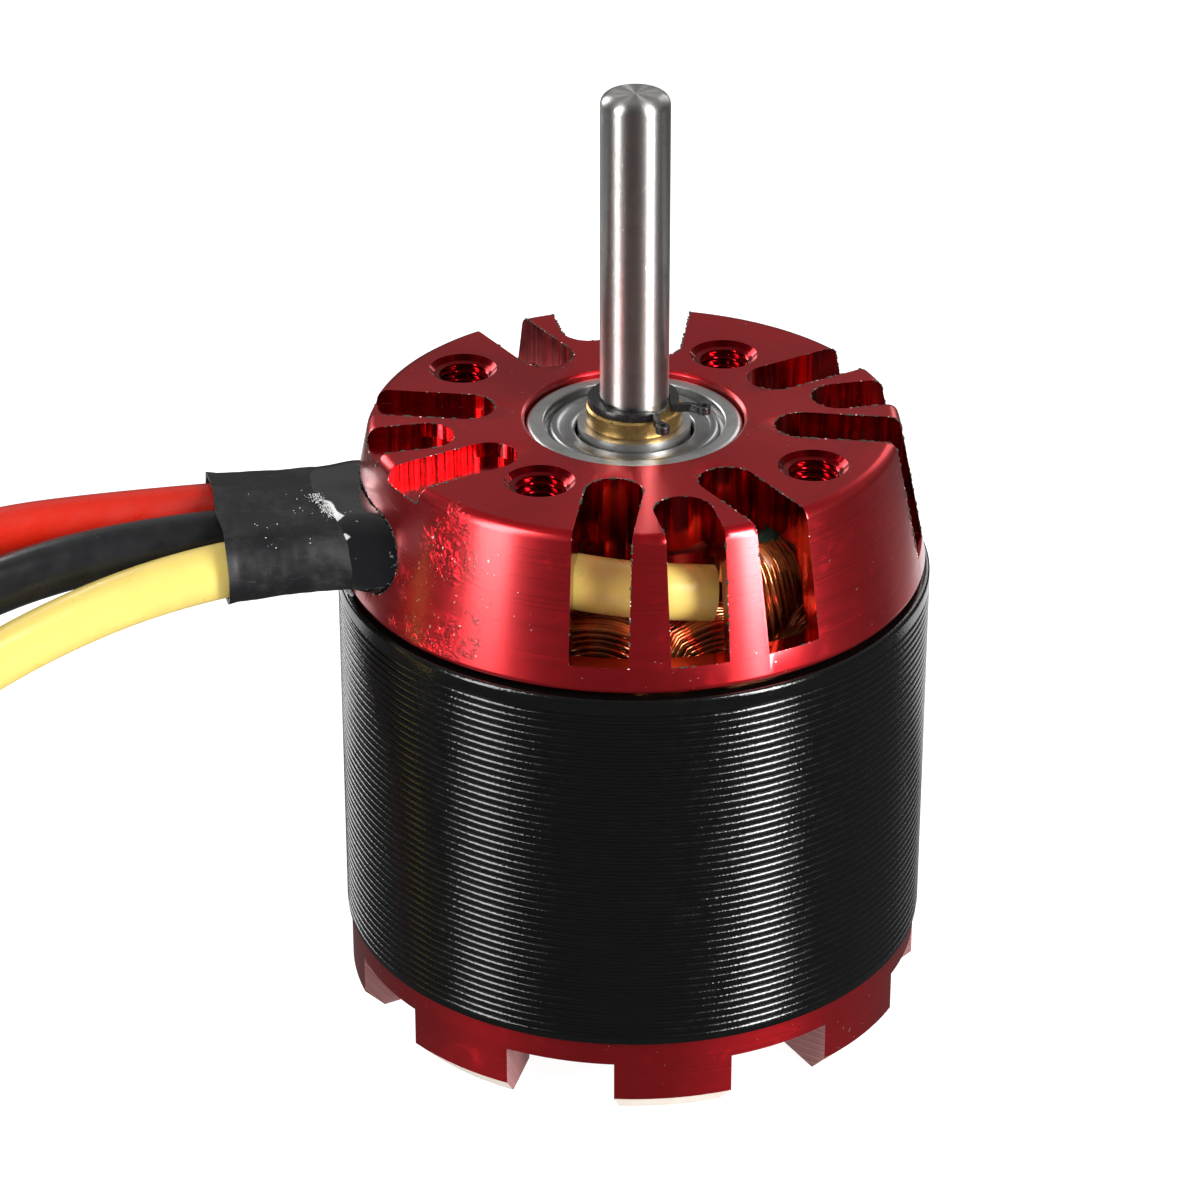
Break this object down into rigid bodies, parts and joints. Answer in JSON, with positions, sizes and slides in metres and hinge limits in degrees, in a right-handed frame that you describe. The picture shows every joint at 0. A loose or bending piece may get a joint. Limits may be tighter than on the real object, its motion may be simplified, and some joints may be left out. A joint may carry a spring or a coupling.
{
  "type": "brushless outrunner motor",
  "caption": "Outrunner motor: slotted red stator mount with tapped holes, ribbed black flux ring and toothed rear bell on a ball-borne steel shaft, flat sleeve with bullet-ended leads.",
  "frame": {"origin": "centre of the front mounting face, on the shaft axis", "axes": "+Z along the output shaft, away from the motor; the leads leave along -X, turned 9 degrees towards -Y"},
  "size_m": [0.1452, 0.0544, 0.0717],
  "materials": {
    "red_anodised": "clear red anodised turned aluminium, glossy",
    "black_ring": "gloss black finish on fine turned ribs",
    "ground_steel": "ground shaft steel",
    "bearing_steel": "satin bearing steel",
    "ball_steel": "polished ball",
    "brass": "turned brass, dull",
    "spring_steel": "black oxide spring steel",
    "laminated_iron": "stacked laminations, edge on",
    "insulator": "green end insulator",
    "copper": "enamelled copper wire",
    "magnet": "nickel plated magnet",
    "screw_steel": "black oxide steel",
    "red_silicone": "soft silicone insulation",
    "black_silicone": "soft silicone insulation",
    "yellow_silicone": "soft silicone insulation",
    "heat_shrink": "flattened heat-shrink, dusty",
    "potting": "glossy black glue",
    "amber_sleeve": "varnished glass sleeving",
    "gold": "gold plated"
  },
  "bodies": {
    "stator": {"front_cap": "red_anodised", "front_bearing_outer_race": "bearing_steel", "front_bearing_shields": "bearing_steel", "rear_bearing_outer_race": "bearing_steel", "rear_bearing_shields": "bearing_steel", "stator_core": "laminated_iron", "stator_insulator_front": "insulator", "stator_insulator_rear": "insulator", "phase_a_windings": "copper", "phase_b_windings": "copper", "phase_c_windings": "copper", "yellow_phase_lead": "yellow_silicone", "red_phase_lead": "red_silicone", "black_phase_lead": "black_silicone", "joint_sleeve": "amber_sleeve", "exit_potting": "potting", "lead_sleeve": "heat_shrink", "lead_red": "red_silicone", "lead_black": "black_silicone", "lead_yellow": "yellow_silicone", "connector_red": "gold", "connector_black": "gold", "connector_yellow": "gold"},
    "rotor": {"shaft": "ground_steel", "flux_ring": "black_ring", "magnets": "magnet", "rear_bell": "red_anodised", "grub_screws": "screw_steel", "brass_collar": "brass", "retaining_clip": "spring_steel", "rear_spacer": "brass", "front_bearing_inner_race": "bearing_steel", "rear_bearing_inner_race": "bearing_steel"},
    "front_ball_set": {"front_bearing_balls": "ball_steel", "front_bearing_cage": "brass"},
    "rear_ball_set": {"rear_bearing_balls": "ball_steel", "rear_bearing_cage": "brass"}
  },
  "joints": [
    {"name": "rotor_spin", "type": "hinge", "parent": "stator", "child": "rotor", "pos_m": [0, 0, -0.02], "axis": [0, 0, 1], "continuous": true},
    {"name": "front_cage_spin", "type": "hinge", "parent": "stator", "child": "front_ball_set", "pos_m": [0, 0, -0.00285], "axis": [0, 0, 1], "continuous": true},
    {"name": "rear_cage_spin", "type": "hinge", "parent": "stator", "child": "rear_ball_set", "pos_m": [0, 0, -0.0336], "axis": [0, 0, 1], "continuous": true}
  ],
  "couplings": [
    {"joint": "front_cage_spin", "follows": "rotor_spin", "ratio": 0.3705},
    {"joint": "rear_cage_spin", "follows": "rotor_spin", "ratio": 0.3705}
  ]
}
